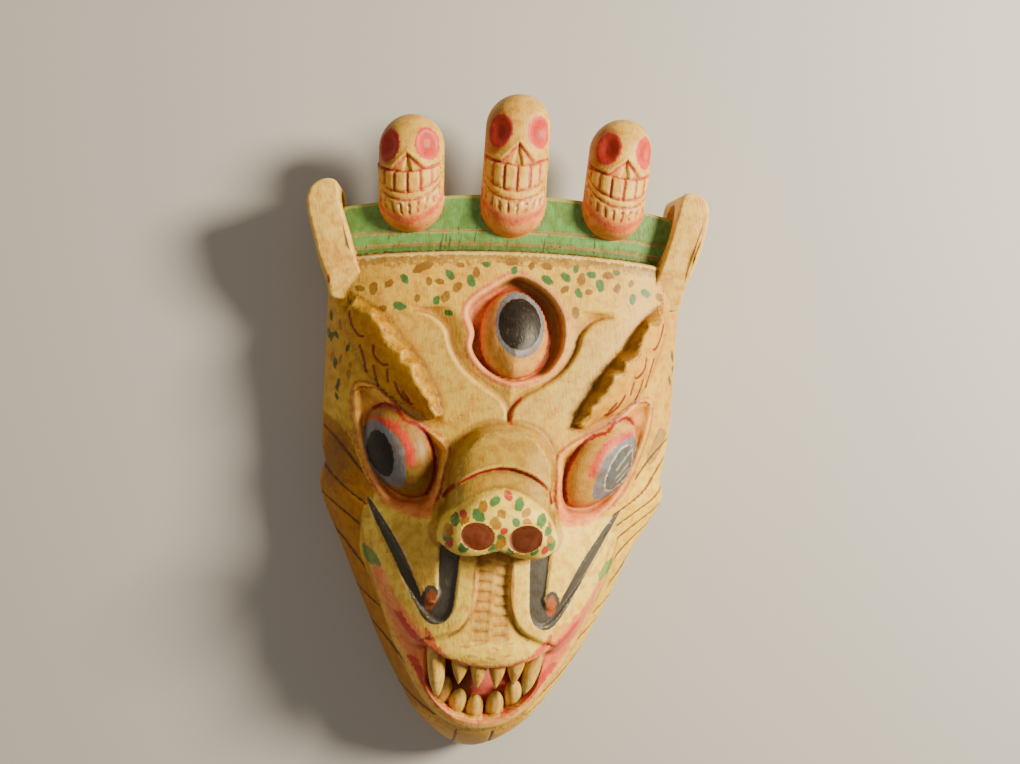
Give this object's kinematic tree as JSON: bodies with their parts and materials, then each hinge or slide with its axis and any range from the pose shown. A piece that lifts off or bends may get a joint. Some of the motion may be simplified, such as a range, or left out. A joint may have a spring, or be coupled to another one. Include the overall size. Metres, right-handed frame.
{
  "type": "carved_mask",
  "caption": "Carved and painted wooden mask of a guardian beast with a third eye, fangs and a crown of skulls, lying on its back rim, for display or dance",
  "frame": {"origin": "centre of the bounding box, on the plane of the back rim", "axes": "+Z out of the face, +Y towards the crown of skulls, +X to the viewer's right"},
  "size_m": [0.238, 0.3942, 0.1238],
  "materials": {
    "painted_wood": "satin"
  },
  "bodies": {
    "root": {"carved_mask": "painted_wood"}
  },
  "joints": []
}
